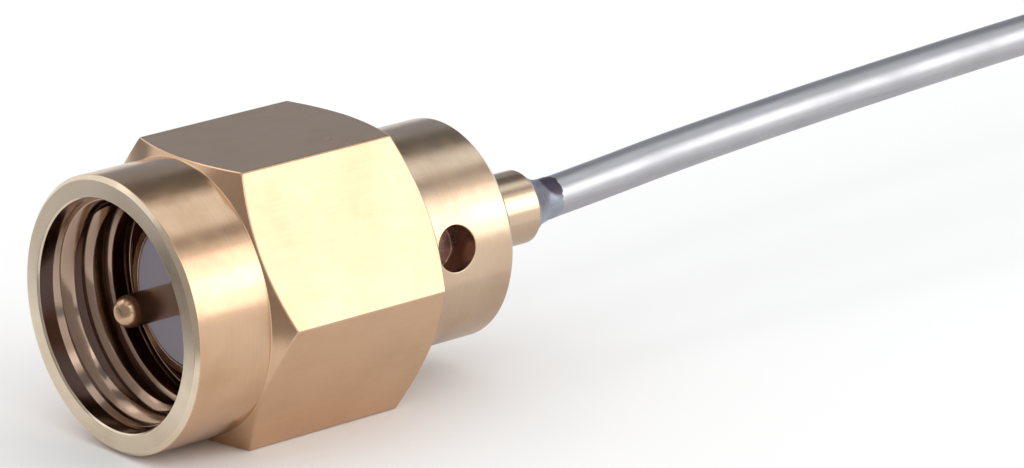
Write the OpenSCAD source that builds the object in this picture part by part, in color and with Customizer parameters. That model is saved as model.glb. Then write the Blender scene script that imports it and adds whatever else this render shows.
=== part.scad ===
// Coaxial SMA plug with a captive hexagon coupling nut, soldered to a length of semi-rigid cable.
//
// X is the coupling axis. The mating plane is X = 0, the pin points towards -X and the cable leaves
// towards +X. Two wrench flats lie level, so the plug rests on the lower one.

/* [Coupling nut] */
// Wrench size across the flats
nut_af = 7.94; // [7.9:0.01:8.6]
// Length of the hexagon, with its chamfers
nut_hex_l = 5.9; // [5:0.05:8]
// Angle of the chamfers that take the corners off the hexagon
nut_chamfer_angle = 30; // [15:1:45]
// Diameter of the round collar ahead of the hexagon
nut_collar_d = 7.82; // [7.3:0.01:7.88]
// Length of the collar
nut_collar_l = 2.52; // [2:0.02:3.5]
// Chamfer round the collar's front edge
nut_rim_chamfer = 0.12; // [0.04:0.01:0.2]
// How far the nut's front rim stands ahead of the mating plane
nut_front = 2.5; // [2.3:0.05:3.2]
// Pitch of the coupling thread
thread_pitch = 0.7056; // [0.6:0.0001:0.75]
// How far the plain counterbore ahead of the thread stands outside the thread's root
counterbore_step = 0.095; // [0.05:0.005:0.25]
// Depth of the counterbore
counterbore_l = 0.5; // [0.2:0.05:1]
// Length of the relief groove behind the thread
relief_l = 0.6; // [0.3:0.05:1.2]
// How far the relief groove stands outside the thread's root
relief_step = 0.055; // [0.02:0.005:0.2]

/* [Shell, in front of the barrel] */
// Outer diameter of the thin spigot that meets the jack
spigot_d = 4.59; // [4.5:0.01:4.7]
// Length of the spigot, from the mating plane to the gasket's shoulder
spigot_l = 2; // [1.9:0.05:2.4]
// How far the neck that carries the nut stands out beyond the spigot
neck_step = 0.455; // [0.405:0.005:0.475]
// Bore of the shell round the insulator
shell_bore_d = 4.11; // [4:0.01:4.15]

/* [Barrel and ferrule] */
// Diameter of the barrel behind the nut
barrel_d = 6.3; // [6:0.05:7]
// Length of the barrel
barrel_l = 3.25; // [2.5:0.05:5]
// Chamfer round the barrel's rear edge
barrel_chamfer = 0.16; // [0.05:0.01:0.5]
// Diameter of the solder ferrule
ferrule_d = 2.14; // [1.8:0.02:3]
// Length of the ferrule
ferrule_l = 2.7; // [1.5:0.05:2.8]
// Diameter of the solder hole in the barrel's side
solder_hole_d = 1.3; // [0.8:0.05:1.6]
// Distance of the solder hole behind the barrel's front face
solder_hole_x = 1.17; // [1.15:0.01:2]
// Angle of the solder hole above the horizontal
solder_hole_angle = 9.5; // [-90:0.5:90]
// Length of the solder fillet behind the ferrule
fillet_l = 1; // [0.5:0.05:1.1]

/* [Snap ring and gasket] */
// How far the snap ring stands out of the neck
ring_proud = 0.3; // [0.2:0.01:0.34]
// Width of the ring's section, across the axis
ring_w = 0.4; // [0.38:0.01:0.42]
// Thickness of the ring along the axis
ring_t = 0.45; // [0.3:0.01:0.6]
// Opening in the ring
ring_gap = 1.5; // [0.8:0.1:2.5]
// Distance of the ring from the nut's rear face
ring_from_rear = 0.8; // [0.5:0.05:1.5]
// Thickness of the gasket
gasket_t = 0.7; // [0.4:0.05:1]

/* [Centre contact] */
// Diameter of the pin
pin_d = 0.92; // [0.9:0.01:0.94]
// Length of the pin ahead of the mating plane
pin_l = 2.2; // [2:0.05:2.25]
// Length of the pin's rounded point
pin_point_l = 0.45; // [0.2:0.05:0.8]
// Diameter of the pin's blunt end
pin_end_d = 0.3; // [0.1:0.02:0.5]
// Diameter of the contact inside the insulator
contact_d = 1.27; // [1.1:0.01:1.3]
// Depth of the hole that takes the cable's core
contact_hole_l = 1.6; // [1:0.1:2.5]
// Diameter of the solder window in the contact's side
contact_window_d = 0.36; // [0.2:0.02:0.5]
// Thickness of the insulator's lip behind the contact
lip_l = 0.55; // [0.3:0.05:0.8]

/* [Cable] */
// Outer diameter of the tinned copper jacket
cable_d = 1.19; // [1:0.01:1.22]
// Diameter of the dielectric
dielectric_d = 0.94; // [0.7:0.01:0.96]
// Diameter of the core
core_d = 0.287; // [0.2:0.001:0.3]
// Dielectric left bare at the free end
bare_dielectric_l = 2; // [0.5:0.5:6]
// Core left bare beyond the dielectric
bare_core_l = 3; // [0.5:0.5:8]

/* [Clearances] */
// Radial gap between the nut and the neck it turns on
nut_bore_gap = 0.05; // [0.02:0.01:0.08]
// Gap between the nut's rear face and the barrel
nut_end_gap = 0.1; // [0.05:0.01:0.3]
// Gap between the thread's crests and the outline of the neck
thread_neck_gap = 0.043; // [0.02:0.001:0.07]
// Gap between the last thread and the gasket's shoulder
thread_end_gap = 0.1; // [0.05:0.05:0.3]
// Play of the snap ring along the axis, in each groove
ring_end_gap = 0.1; // [0.05:0.01:0.2]
// Room round the ring in the nut, and under it when it is closed
ring_side_gap = 0.05; // [0.02:0.01:0.08]
// Gap round the gasket, from the spigot and from the neck's edge
gasket_gap = 0.02; // [0.01:0.01:0.1]
// Radial gap of the insulator in the shell, and of the contact in the insulator
press_gap = 0.005; // [0.002:0.001:0.01]
// Radial gap round each stripped step of the cable in its hole
cable_gap = 0.006; // [0.004:0.001:0.02]
// Gap between the core's front end and the bottom of its hole
core_end_gap = 0.1; // [0.05:0.05:0.5]
// How far the insulator's seat lies behind the barrel's front face
seat_depth = 0.3; // [0.1:0.05:0.45]

/* [Hidden] */
$fn = 96;
// The cable's cross-section is a polygon of this many sides, a little larger than the round one
CABLE_SIDES = 8;
SIDE_ALLOWANCE = 1.04;
// Rings in each stretch of the route
ROUTE_STEPS = 2;
// A unified thread's depth from crest to root, in pitches
THREAD_DEPTH = 0.5413;
// Small edge breaks on turned pieces
EDGE = 0.06;
// How far cutting tools run past what they cut
PAST = 1;
GOLD = [0.80, 0.66, 0.44];
SILVER = [0.68, 0.69, 0.72];

nut_front_x = -nut_front;
hex_front_x = nut_front_x + nut_collar_l;
nut_rear_x = hex_front_x + nut_hex_l;
hex_corner_r = nut_af / 2 / cos(30);
hex_chamfer_l = (hex_corner_r - nut_collar_d / 2) * tan(nut_chamfer_angle);
thread_front_x = nut_front_x + counterbore_l;
thread_rear_x = spigot_l - thread_end_gap;
neck_r = spigot_d / 2 + neck_step;
thread_minor_r = neck_r + thread_neck_gap;
thread_major_r = thread_minor_r + THREAD_DEPTH * thread_pitch;
counterbore_r = thread_major_r + counterbore_step;
relief_r = thread_major_r + relief_step;
thread_taper_l = counterbore_r - thread_minor_r;
nut_bore_r = neck_r + nut_bore_gap;

ring_rear_x = nut_rear_x - ring_from_rear;
ring_front_x = ring_rear_x - ring_t;
ring_r = neck_r + ring_proud;
ring_groove_r = neck_r - ring_w - ring_side_gap;
nut_groove_r = ring_r + ring_side_gap;

barrel_front_x = nut_rear_x + nut_end_gap;
barrel_rear_x = barrel_front_x + barrel_l;
ferrule_rear_x = barrel_rear_x + ferrule_l;
seat_x = barrel_front_x + seat_depth;
contact_rear_x = seat_x - lip_l;

jacket_r = cable_d / 2 * SIDE_ALLOWANCE;
dielectric_r = dielectric_d / 2 * SIDE_ALLOWANCE;
core_r = core_d / 2 * SIDE_ALLOWANCE;

// The cable's centre line outside the connector. The first and last points only steer the ends.
ROUTE = [
    [12, 0, 0], [13, 0, 0], [15, 0, 0.15], [18, 0, 0.4], [22, 0, 0.65], [27, 0, 0.9],
    [32, 0, 1.1], [36, 0, 1.2], [40, 0, 1.05], [44, 0.3, 0.45], [48, 0.9, -0.55],
    [52, 1.8, -1.7], [56, 2.9, -2.65], [60, 4.1, -3.2], [64, 5.4, -3.35], [68, 6.8, -3.35],
    [72, 8.2, -3.35], [76, 9.6, -3.35]
];

// A point on the Catmull-Rom curve through four points, t running from 0 at b to 1 at c
function curve_point(a, b, c, d, t) =
    b + (c - a) * t / 2 + (a * 2 - b * 5 + c * 4 - d) * t * t / 2
    + (b * 3 - a - c * 3 + d) * t * t * t / 2;
// The route with extra points between its own
function smooth(route, steps) = concat(
    [
        for (i = [1 : len(route) - 3], k = [0 : steps - 1])
            curve_point(route[i - 1], route[i], route[i + 1], route[i + 2], k / steps)
    ],
    [route[len(route) - 2]]
);
function unit(v) = v / norm(v);
// Direction of a path at its point i
function direction(path, i) =
    unit(path[min(i + 1, len(path) - 1)] - path[max(i - 1, 0)]);
// Point k of the ring of radius r round point i of a path, counted from the top
function ring_point(path, i, k, r) =
    let(
        along = direction(path, i),
        side = unit(cross([0, 0, 1], along)),
        up = cross(along, side),
        angle = 360 * k / CABLE_SIDES
    )
    path[i] + r * (cos(angle) * up + sin(angle) * side);

// The jacket's own path, from its seat in the shell to its cut end
JACKET_PATH = concat([[seat_x, 0, 0]], smooth(ROUTE, ROUTE_STEPS));
free_end = JACKET_PATH[len(JACKET_PATH) - 1];
free_direction = direction(JACKET_PATH, len(JACKET_PATH) - 1);

// What a layer stripped longer than the jacket follows: from front_x, and bare_l past the cut end
function stripped_path(front_x, bare_l) =
    concat([[front_x, 0, 0]], JACKET_PATH, [free_end + free_direction * bare_l]);

// A solid turned on the X axis. The profile's points are [radius, x].
module turned(profile) {
    rotate([0, 90, 0])
        rotate_extrude()
            polygon(profile);
}

// A round layer of the cable along a path. An inner radius of 0 makes it solid.
module cable_layer(path, outer_r, inner_r = 0) {
    n = CABLE_SIDES;
    rings = len(path);
    last = (rings - 1) * n;
    inner = rings * n;
    outer_points = [for (i = [0 : rings - 1], k = [0 : n - 1]) ring_point(path, i, k, outer_r)];
    inner_points = [for (i = [0 : rings - 1], k = [0 : n - 1]) ring_point(path, i, k, inner_r)];
    outer_skin = [
        for (i = [0 : rings - 2], k = [0 : n - 1])
            let(a = i * n + k, b = i * n + (k + 1) % n)
            each [[a, b, b + n], [a, b + n, a + n]]
    ];
    if (inner_r > 0) {
        inner_skin = [for (f = outer_skin) [inner + f[0], inner + f[2], inner + f[1]]];
        ends = [
            for (k = [0 : n - 1])
                let(a = k, b = (k + 1) % n)
                each [
                    [a, inner + a, inner + b],
                    [a, inner + b, b],
                    [last + a, last + b, inner + last + b],
                    [last + a, inner + last + b, inner + last + a]
                ]
        ];
        polyhedron(concat(outer_points, inner_points), concat(outer_skin, inner_skin, ends));
    } else {
        ends = [[for (k = [n - 1 : -1 : 0]) k], [for (k = [0 : n - 1]) last + k]];
        polyhedron(outer_points, concat(outer_skin, ends));
    }
}

// The nut is one turned piece: collar, chamfered hexagon, thread bore and the ring's groove
module coupling_nut() {
    collar_r = nut_collar_d / 2;
    color(GOLD)
        difference() {
            union() {
                intersection() {
                    translate([hex_front_x, 0, 0])
                        rotate([0, 90, 0])
                            rotate([0, 0, 30])
                                cylinder(r = hex_corner_r, h = nut_hex_l, $fn = 6);
                    turned([
                        [0, hex_front_x - PAST],
                        [collar_r, hex_front_x - PAST],
                        [collar_r, hex_front_x],
                        [hex_corner_r, hex_front_x + hex_chamfer_l],
                        [hex_corner_r, nut_rear_x - hex_chamfer_l],
                        [collar_r, nut_rear_x],
                        [0, nut_rear_x]
                    ]);
                }
                turned([
                    [0, nut_front_x],
                    [collar_r - nut_rim_chamfer, nut_front_x],
                    [collar_r, nut_front_x + nut_rim_chamfer],
                    [collar_r, hex_front_x + EDGE],
                    [0, hex_front_x + EDGE]
                ]);
            }
            nut_bore();
        }
}

// Everything that is cut out of the nut, from its front rim to its rear face
module nut_bore() {
    relief_rear_x = thread_rear_x + relief_l;
    groove_front_x = ring_front_x - ring_end_gap;
    groove_rear_x = ring_rear_x + ring_end_gap;
    turned([
        [0, nut_front_x - PAST],
        [counterbore_r + EDGE + PAST, nut_front_x - PAST],
        [counterbore_r + EDGE, nut_front_x],
        [counterbore_r, nut_front_x + EDGE],
        [counterbore_r, thread_front_x - thread_taper_l / 2],
        [thread_minor_r, thread_front_x + thread_taper_l / 2],
        [thread_minor_r, thread_rear_x],
        [relief_r, thread_rear_x],
        [relief_r, relief_rear_x],
        [nut_bore_r, relief_rear_x],
        [nut_bore_r, groove_front_x],
        [nut_groove_r, groove_front_x],
        [nut_groove_r, groove_rear_x],
        [nut_bore_r, groove_rear_x],
        [nut_bore_r, nut_rear_x - EDGE],
        [nut_bore_r + EDGE, nut_rear_x],
        [nut_bore_r + EDGE, nut_rear_x + PAST],
        [0, nut_rear_x + PAST]
    ]);
}

// The split ring that holds the nut on the shell. It sits on the rear wall of the shell's groove.
module snap_ring() {
    color([0.72, 0.60, 0.38])
        difference() {
            turned([
                [ring_r - ring_w, ring_front_x],
                [ring_r, ring_front_x],
                [ring_r, ring_rear_x],
                [ring_r - ring_w, ring_rear_x]
            ]);
            translate([ring_front_x - PAST, -ring_gap / 2, 0])
                cube([ring_t + 2 * PAST, ring_gap, ring_r + PAST]);
        }
}

// The silicone gasket against the shell's shoulder
module gasket() {
    outer_r = neck_r - gasket_gap;
    inner_r = spigot_d / 2 + gasket_gap;
    front_x = spigot_l - gasket_t;
    color([0.62, 0.26, 0.16])
        turned([
            [inner_r, front_x],
            [outer_r - EDGE, front_x],
            [outer_r, front_x + EDGE],
            [outer_r, spigot_l],
            [inner_r, spigot_l]
        ]);
}

// The shell is one turned piece: spigot, neck, barrel and solder ferrule
module shell() {
    spigot_r = spigot_d / 2;
    barrel_r = barrel_d / 2;
    ferrule_r = ferrule_d / 2;
    bore_r = shell_bore_d / 2;
    cable_bore_r = jacket_r + cable_gap;
    color(GOLD)
        difference() {
            turned([
                [bore_r, 0],
                [spigot_r - EDGE / 2, 0],
                [spigot_r, EDGE / 2],
                [spigot_r, spigot_l],
                [neck_r, spigot_l],
                [neck_r, ring_front_x - ring_end_gap],
                [ring_groove_r, ring_front_x - ring_end_gap],
                [ring_groove_r, ring_rear_x],
                [neck_r, ring_rear_x],
                [neck_r, barrel_front_x],
                [barrel_r - EDGE, barrel_front_x],
                [barrel_r, barrel_front_x + EDGE],
                [barrel_r, barrel_rear_x - barrel_chamfer],
                [barrel_r - barrel_chamfer, barrel_rear_x],
                [ferrule_r, barrel_rear_x],
                [ferrule_r, ferrule_rear_x - EDGE],
                [ferrule_r - EDGE, ferrule_rear_x],
                [cable_bore_r, ferrule_rear_x],
                [cable_bore_r, seat_x],
                [bore_r, seat_x]
            ]);
            // The solder hole runs from the side of the barrel to the cable's bore
            translate([barrel_front_x + solder_hole_x, 0, 0])
                rotate([90 - solder_hole_angle, 0, 0])
                    cylinder(d = solder_hole_d, h = barrel_r + PAST);
        }
}

// The dielectric plug between shell and contact. Its rear lip passes only the cable's dielectric.
module insulator() {
    outer_r = shell_bore_d / 2 - press_gap;
    contact_bore_r = contact_d / 2 + press_gap;
    lip_bore_r = dielectric_r + cable_gap;
    color([0.90, 0.90, 0.93])
        turned([
            [contact_bore_r, 0],
            [outer_r, 0],
            [outer_r, seat_x],
            [lip_bore_r, seat_x],
            [lip_bore_r, contact_rear_x],
            [contact_bore_r, contact_rear_x]
        ]);
}

// The centre contact: a pin with an elliptical point, a thicker body and a hole for the core
module centre_contact() {
    pin_r = pin_d / 2;
    end_r = pin_end_d / 2;
    body_r = contact_d / 2;
    hole_r = core_r + cable_gap;
    point_step = 15;
    window_x = contact_rear_x - contact_hole_l / 2;
    color(GOLD)
        difference() {
            turned(concat(
                [[0, -pin_l]],
                [
                    for (a = [0 : point_step : 90])
                        [end_r + (pin_r - end_r) * sin(a), -pin_l + pin_point_l * (1 - cos(a))]
                ],
                [
                    [pin_r, 0],
                    [body_r, 0],
                    [body_r, contact_rear_x],
                    [hole_r, contact_rear_x],
                    [hole_r, contact_rear_x - contact_hole_l],
                    [0, contact_rear_x - contact_hole_l]
                ]
            ));
            // The window through which the core is soldered
            translate([window_x, 0, 0])
                cylinder(d = contact_window_d, h = body_r + PAST);
        }
}

// The solder between ferrule and jacket: a hollow-sided cone
module solder_fillet() {
    root_r = ferrule_d / 2 - EDGE;
    tip_r = jacket_r + EDGE / 2;
    arc_step = 15;
    color([0.62, 0.62, 0.66])
        difference() {
            turned(concat(
                [[0, ferrule_rear_x]],
                [
                    for (a = [0 : arc_step : 90])
                        [
                            tip_r + (root_r - tip_r) * (1 - sin(a)),
                            ferrule_rear_x + fillet_l * (1 - cos(a))
                        ]
                ],
                [[0, ferrule_rear_x + fillet_l]]
            ));
            translate([ferrule_rear_x - PAST, 0, 0])
                rotate([0, 90, 0])
                    cylinder(r = jacket_r, h = fillet_l + 2 * PAST, $fn = CABLE_SIDES);
        }
}

module cable_jacket() {
    color(SILVER)
        cable_layer(JACKET_PATH, jacket_r, dielectric_r);
}

module cable_dielectric() {
    color([0.93, 0.93, 0.92])
        cable_layer(stripped_path(contact_rear_x, bare_dielectric_l), dielectric_r, core_r);
}

module cable_core() {
    front_x = contact_rear_x - contact_hole_l + core_end_gap;
    color(SILVER)
        cable_layer(stripped_path(front_x, bare_dielectric_l + bare_core_l), core_r);
}

coupling_nut();
snap_ring();
gasket();
shell();
insulator();
centre_contact();
solder_fillet();
cable_jacket();
cable_dielectric();
cable_core();
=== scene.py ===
"""Finished surfaces of a coaxial screw-on plug on a thin semi-rigid cable, and the studio it stands in.

Run it as a script. X is the coupling axis, the pin points towards -X, and the plug lies on a wrench flat.
"""

import math

import bmesh
import bpy
from bpy.props import FloatProperty, FloatVectorProperty, IntProperty, PointerProperty
from mathutils import Matrix, Vector, noise


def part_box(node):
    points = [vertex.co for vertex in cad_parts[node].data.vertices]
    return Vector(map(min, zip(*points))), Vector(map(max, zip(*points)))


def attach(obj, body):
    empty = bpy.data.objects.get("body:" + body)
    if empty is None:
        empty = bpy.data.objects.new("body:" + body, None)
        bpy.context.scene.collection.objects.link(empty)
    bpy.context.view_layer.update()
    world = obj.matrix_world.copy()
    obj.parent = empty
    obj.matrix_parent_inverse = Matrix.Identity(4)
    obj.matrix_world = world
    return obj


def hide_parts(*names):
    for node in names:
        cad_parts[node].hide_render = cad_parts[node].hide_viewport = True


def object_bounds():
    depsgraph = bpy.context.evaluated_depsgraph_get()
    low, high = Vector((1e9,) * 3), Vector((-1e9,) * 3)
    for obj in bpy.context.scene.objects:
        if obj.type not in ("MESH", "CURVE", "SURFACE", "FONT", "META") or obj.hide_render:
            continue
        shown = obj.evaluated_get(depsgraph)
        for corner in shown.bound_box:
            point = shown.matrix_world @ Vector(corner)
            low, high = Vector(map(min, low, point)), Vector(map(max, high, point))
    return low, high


bl_info = {
    "name": "Coaxial plug finisher",
    "version": (1, 0, 0),
    "blender": (4, 5, 0),
    "location": "View3D > Sidebar > Plug",
    "description": "Builds the finished pieces of a coaxial plug round its solids, and lights them",
    "category": "Object",
}

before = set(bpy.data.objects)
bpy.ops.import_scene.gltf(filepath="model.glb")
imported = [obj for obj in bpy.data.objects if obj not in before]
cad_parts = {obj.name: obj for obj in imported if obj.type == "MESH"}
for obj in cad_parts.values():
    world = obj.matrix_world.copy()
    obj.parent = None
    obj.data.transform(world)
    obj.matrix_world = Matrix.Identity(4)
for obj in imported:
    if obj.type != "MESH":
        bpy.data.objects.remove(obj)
CAD_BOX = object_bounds()
NUT_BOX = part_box("coupling_nut")
SHELL_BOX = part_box("shell")
PIN_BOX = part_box("centre_contact")
INSULATOR_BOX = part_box("insulator")
FILLET_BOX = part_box("solder_fillet")
RING_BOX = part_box("snap_ring")
# The two bodies that pieces ride on
PLUG = "plug"
NUT = "nut"
MM = 0.001
UP = Vector((0, 0, 1))
AXIS = Vector((1, 0, 0))
WHITE = (1.0, 1.0, 1.0)
# The nut's play on the neck, which is the gap between its rear face and the barrel
NUT_PLAY = 0.1 * MM
# Half of the angle that one wrench flat takes, seen along the axis
HALF_FLAT = math.pi / 6
# The cable's centre line in metres. The first and last points only steer the ends.
ROUTE = [
    Vector(point) * MM
    for point in (
        (12, 0, 0), (13, 0, 0), (15, 0, 0.15), (18, 0, 0.4), (22, 0, 0.65), (27, 0, 0.9),
        (32, 0, 1.1), (36, 0, 1.2), (40, 0, 1.05), (44, 0.3, 0.45), (48, 0.9, -0.55),
        (52, 1.8, -1.7), (56, 2.9, -2.65), (60, 4.1, -3.2), (64, 5.4, -3.35), (68, 6.8, -3.35),
        (72, 8.2, -3.35), (76, 9.6, -3.35),
    )
]


# ---------------------------------------------------------------- settings


def length(name, description, millimetres):
    """A length setting with a default in millimetres."""
    return FloatProperty(
        name=name, description=description, default=millimetres * MM, min=0, precision=6, unit="LENGTH"
    )


def angle_setting(name, description, degrees):
    """An angle setting with a default in degrees."""
    return FloatProperty(name=name, description=description, default=math.radians(degrees), subtype="ANGLE")


def colour(name, description, default):
    """A colour setting."""
    return FloatVectorProperty(
        name=name, description=description, default=default, size=3, min=0, max=1, subtype="COLOR"
    )


def count(name, description, default, least):
    """A setting for a whole number of strips, sides or steps."""
    return IntProperty(name=name, description=description, default=default, min=least)


class NutSettings(bpy.types.PropertyGroup):
    columns: count("Columns", "Strips round the nut, between its corners", 180, 24)
    collar_length: length("Collar length", "Round collar ahead of the hexagon", 2.52)
    collar_radius: length("Collar radius", "Radius of the round collar", 3.91)
    rim_chamfer: length("Rim chamfer", "Chamfer round the collar's front edge", 0.12)
    edge: length("Edge radius", "Radius of the small edge breaks", 0.05)
    flat_edge: length("Flat edge radius", "Radius between the chamfers and the wrench flats", 0.07)
    corner: length("Corner radius", "Radius of the hexagon's six corners", 0.09)
    counterbore_radius: length("Counterbore radius", "Plain bore ahead of the thread", 3.27)
    counterbore_depth: length("Counterbore depth", "Depth of the plain bore", 0.5)
    relief_radius: length("Relief radius", "Groove behind the thread", 3.23)
    relief_length: length("Relief length", "Length of the groove behind the thread", 0.6)
    neck_bore: length("Neck bore", "Bore that turns on the shell's neck", 2.8)
    groove_radius: length("Groove radius", "Groove for the retaining ring", 3.1)
    groove_play: length("Groove play", "Room beside the retaining ring", 0.1)


class ThreadSettings(bpy.types.PropertyGroup):
    pitch: length("Pitch", "Distance from one thread to the next", 0.7056)
    root_radius: length("Root radius", "Radius at the bottom of the thread", 3.175)
    crest_radius: length("Crest radius", "Radius at the top of the thread", 2.793)
    rear: length("Rear end", "Where the thread ends behind the mating plane", 1.9)
    taper: FloatProperty(
        name="Run-out", description="Share of the thread over which each end fades", default=0.09,
        min=0, max=1, subtype="FACTOR",
    )
    steps: count("Steps", "Steps in each turn", 96, 12)


class ShellSettings(bpy.types.PropertyGroup):
    columns: count("Columns", "Strips round the shell", 192, 24)
    spigot_radius: length("Spigot radius", "Thin spigot that meets the jack", 2.295)
    spigot_length: length("Spigot length", "From the mating plane to the shoulder", 2.0)
    bore_radius: length("Bore radius", "Bore round the insulator", 2.055)
    neck_radius: length("Neck radius", "Neck that carries the nut", 2.75)
    groove_radius: length("Groove radius", "Groove under the retaining ring", 2.3)
    barrel_length: length("Barrel length", "Round barrel behind the nut", 3.25)
    barrel_chamfer: length("Barrel chamfer", "Chamfer round the barrel's rear edge", 0.16)
    ferrule_radius: length("Ferrule radius", "Solder ferrule", 1.07)
    ferrule_length: length("Ferrule length", "Solder ferrule behind the barrel", 2.7)
    seat_depth: length("Seat depth", "Insulator's seat behind the barrel's front", 0.3)
    edge: length("Edge radius", "Radius of the small edge breaks", 0.04)
    hole_radius: length("Hole radius", "Solder hole in the barrel's side", 0.65)
    hole_offset: length("Hole offset", "Solder hole behind the barrel's front", 1.17)
    hole_rim: length("Hole rim", "Rounding round the solder hole", 0.05)
    hole_angle: angle_setting("Hole angle", "Angle of the solder hole above the horizontal", 9.5)


class CableSettings(bpy.types.PropertyGroup):
    jacket_radius: length("Jacket radius", "Tinned copper tube", 0.595)
    dielectric_radius: length("Dielectric radius", "Insulation inside the tube", 0.47)
    core_radius: length("Core radius", "Silvered wire", 0.1435)
    bare_dielectric: length("Bare dielectric", "Insulation left bare at the free end", 2)
    bare_core: length("Bare core", "Wire left bare beyond the insulation", 3)
    sides: count("Sides", "Sides of the round tube", 48, 8)
    steps: count("Steps", "Rings between two points of the route", 6, 1)


class FinishSettings(bpy.types.PropertyGroup):
    nut_gold: colour("Nut gold", "Gold plating of the nut", (0.655, 0.44, 0.285))
    shell_gold: colour("Shell gold", "Paler gold plating of the shell", (0.655, 0.49, 0.35))
    # Painted highlight: the rim's gold is made paler, so that the rim looks brighter where it reflects the
    # shaded floor
    rim_highlight_gold: colour("Rim gold", "Gold plating that is rubbed pale round the nut's mouth", (0.80, 0.68, 0.53))
    # Painted shade: a darker gold for the bores, the thread and the solder hole, which stands in for the
    # shade inside them
    shaded_bore_gold: colour("Bore gold", "Thin, dull plating in the bores", (0.45, 0.325, 0.25))
    tin: colour("Tin", "Tinned jacket", (0.525, 0.52, 0.54))
    solder: colour("Solder", "Solder joint", (0.37, 0.39, 0.455))
    # Painted shade: the dark colour that the solder takes along its top and round one spot
    solder_shade: colour("Flux", "Flux that is left on the solder", (0.055, 0.04, 0.065))
    burnt_flux: colour("Burnt flux", "Flux over the solder in the hole", (0.60, 0.35, 0.28))
    # Painted shade: a darker grey than white fluoropolymer, which stands in for the shade in the nut's mouth
    fluoropolymer: colour("Fluoropolymer", "Insulator", (0.34, 0.31, 0.36))


class StudioSettings(bpy.types.PropertyGroup):
    azimuth: angle_setting("Azimuth", "Camera's direction", -39.9)
    elevation: angle_setting("Elevation", "Camera's height", 17.8)
    roll: angle_setting("Roll", "Camera's tilt", -0.961)
    distance: length("Distance", "From the camera to the point it looks at", 173.04)
    target: FloatVectorProperty(
        name="Target", description="Point the camera looks at", default=(0.011755, 0, -0.000782), size=3,
        unit="LENGTH",
    )
    lens: FloatProperty(name="Lens", description="Focal length in millimetres", default=213.13)
    ambient: FloatProperty(name="Ambient", description="Strength of the white room's light", default=0.93)


# ---------------------------------------------------------------- shapes


# Share of its shorter side that a rounded corner may use
CORNER_SHARE = 0.45
# Length kept straight beside a rounded corner so that the faces there are shaded flat, and its greatest share
HOLD = 0.004 * MM
HOLD_SHARE = 0.1
# Length and share of the radius that the edge break at a tube's end takes
END_BREAK = 0.05 * MM
END_SHARE = 0.93


def arc_point(centre, radius, angle):
    return centre + Vector((math.cos(angle), math.sin(angle))) * radius


def soften(corners, steps=4):
    """Rounds the corners of an outline of (x, r, radius) and keeps the straight runs straight.

    Every corner with a radius gives the same number of points, so outlines of one kind match.
    """
    outline = []
    for i, (x, r, radius) in enumerate(corners):
        here = Vector((x, r))
        if radius <= 0:
            outline.append(here)
            continue
        before = Vector(corners[i - 1][:2]) - here
        after = Vector(corners[(i + 1) % len(corners)][:2]) - here
        reach = min(before.length, after.length) * CORNER_SHARE
        before.normalize()
        after.normalize()
        half = before.angle(after) / 2
        cut = min(radius / math.tan(half), reach)
        middle = (before + after).normalized()
        centre = here + middle * (cut / math.cos(half))
        start = here + before * cut - centre
        end = here + after * cut - centre
        swing = math.atan2(start.x * end.y - start.y * end.x, start.dot(end))
        begin = math.atan2(start.y, start.x)
        gap = min(HOLD, reach * HOLD_SHARE)
        outline.append(here + before * (cut + gap))
        outline += [arc_point(centre, start.length, begin + swing * k / steps) for k in range(steps + 1)]
        outline.append(here + after * (cut + gap))
    return outline


def spun(angle, x, radius):
    """A point of a turned piece, with the angle counted from the top."""
    return Vector((x, radius * math.sin(angle), radius * math.cos(angle)))


def stitch(mesh, one, two):
    """Faces between two rings, either of which may be a single point."""
    most = max(len(one), len(two))
    for j in range(most):
        k = (j + 1) % most
        corners = [one[j % len(one)], one[k % len(one)], two[k % len(two)], two[j % len(two)]]
        corners = [v for n, v in enumerate(corners) if v not in corners[:n]]
        if len(corners) > 2:
            mesh.faces.new(corners)


def new_object(name, data):
    thing = bpy.data.objects.new(name, data)
    bpy.context.scene.collection.objects.link(thing)
    return thing


def finished(mesh, name, *materials):
    """Turns the working mesh into an object that is smooth, with its faces outwards."""
    bmesh.ops.recalc_face_normals(mesh, faces=mesh.faces)
    data = bpy.data.meshes.new(name)
    mesh.to_mesh(data)
    mesh.free()
    data.shade_smooth()
    for material in materials:
        data.materials.append(material)
    return new_object(name, data)


def lofted(name, rings, *materials, closed=False):
    """A piece whose skin runs from each ring of points to the next, and back to the first if closed."""
    mesh = bmesh.new()
    rings = [[mesh.verts.new(point) for point in ring] for ring in rings]
    for one, two in zip(rings, rings[1:]):
        stitch(mesh, one, two)
    if closed:
        stitch(mesh, rings[-1], rings[0])
    return finished(mesh, name, *materials)


def flat_piece(name, corners, material):
    """One flat face between its corners."""
    mesh = bmesh.new()
    for corner in corners:
        mesh.verts.new(corner)
    mesh.faces.new(mesh.verts)
    return finished(mesh, name, material)


def turned_piece(name, corners, columns, material, closed=False):
    """Turns an outline of (x, r, radius) on the X axis. A point on the axis stays a single point."""
    angles = [math.tau * k / columns for k in range(columns)]
    on_axis = 1e-9
    rings = [
        [(x, 0, 0)] if r < on_axis else [spun(angle, x, r) for angle in angles]
        for x, r in soften(corners)
    ]
    return lofted(name, rings, material, closed=closed)


def settle(piece, body, slot, *nodes):
    """A finished piece moves with its body and stands for its nodes."""
    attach(piece, body)
    if nodes:
        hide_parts(*nodes)
    return piece


def bake(piece):
    """Turns a piece's modifiers into its own mesh."""
    bpy.context.view_layer.update()
    graph = bpy.context.evaluated_depsgraph_get()
    data = bpy.data.meshes.new_from_object(piece.evaluated_get(graph), depsgraph=graph)
    piece.modifiers.clear()
    piece.data = data


def curve_through(before, start, end, after, t):
    """A point on the Catmull-Rom curve from start to end."""
    return (
        start
        + (end - before) * (t / 2)
        + (before * 2 - start * 5 + end * 4 - after) * (t * t / 2)
        + (start * 3 - before - end * 3 + after) * (t * t * t / 2)
    )


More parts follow.
